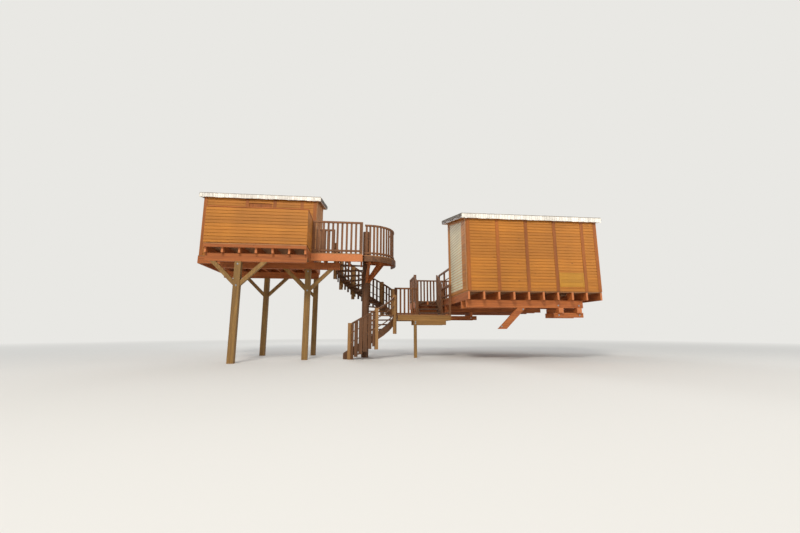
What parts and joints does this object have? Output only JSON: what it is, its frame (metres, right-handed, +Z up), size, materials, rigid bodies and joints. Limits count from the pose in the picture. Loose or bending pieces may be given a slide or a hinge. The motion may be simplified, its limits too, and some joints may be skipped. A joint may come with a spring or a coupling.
{
  "type": "tree house",
  "caption": "Boarded timber tree house: two lean-to cabins on raised decks, linked by a walkway, winding stair, gallery and bridge, with openings for trunks.",
  "frame": {"origin": "foot of the walkway post, on the ground", "axes": "+Z up, +X to the right along the cabins' front walls, +Y from front to back"},
  "size_m": [13.55, 5.815, 6.2854],
  "materials": {
    "cladding": "larch boards, oiled",
    "batten_timber": "larch battens, oiled",
    "shutter_board": "larch boards, planed",
    "door_board": "larch boards, oiled",
    "pale_panel": "pale stained boards",
    "roof_shingle": "weathered shingles",
    "fascia_board": "planed larch",
    "deck_board": "ribbed deck boards",
    "stair_timber": "dark oiled timber",
    "rail_timber": "oiled timber",
    "post_timber": "weathered squared timber",
    "frame_timber": "sawn structural timber"
  },
  "bodies": {
    "root": {"back_yoke_beams": "frame_timber", "back_yoke_blocks": "frame_timber", "balcony_rails": "rail_timber", "bridge_joists": "frame_timber", "bridge_rails": "rail_timber", "fork_braces": "post_timber", "front_yoke_beams": "frame_timber", "front_yoke_blocks": "frame_timber", "gallery_brackets": "stair_timber", "gallery_deck": "deck_board", "gallery_rail": "stair_timber", "gallery_rim": "stair_timber", "knee_brace": "frame_timber", "lower_back_wall": "cladding", "lower_battens": "batten_timber", "lower_bearers": "frame_timber", "lower_deck": "deck_board", "lower_door": "door_board", "lower_fascias": "fascia_board", "lower_front_wall": "cladding", "lower_joists": "frame_timber", "lower_left_wall": "cladding", "lower_right_wall": "cladding", "lower_rims": "frame_timber", "lower_roof_covering": "roof_shingle", "lower_roof_deck": "cladding", "lower_shutter": "shutter_board", "lower_stair_rail": "stair_timber", "lower_stringer": "stair_timber", "lower_treads": "stair_timber", "main_beams": "frame_timber", "side_panel": "pale_panel", "stair_centre_post": "stair_timber", "step_rails": "rail_timber", "step_stringers": "stair_timber", "step_treads": "stair_timber", "terrace_rails": "rail_timber", "upper_back_wall": "cladding", "upper_battens": "batten_timber", "upper_deck": "deck_board", "upper_door": "door_board", "upper_fascias": "fascia_board", "upper_front_wall": "cladding", "upper_joists": "frame_timber", "upper_left_wall": "cladding", "upper_posts": "post_timber", "upper_right_wall": "cladding", "upper_rims": "frame_timber", "upper_roof_covering": "roof_shingle", "upper_roof_deck": "cladding", "upper_shutter": "shutter_board", "upper_stair_rail": "stair_timber", "upper_stringer": "stair_timber", "upper_treads": "stair_timber", "walkway_bearers": "frame_timber", "walkway_deck": "deck_board", "walkway_frame": "frame_timber", "walkway_post": "post_timber", "walkway_rails": "rail_timber"}
  },
  "joints": []
}
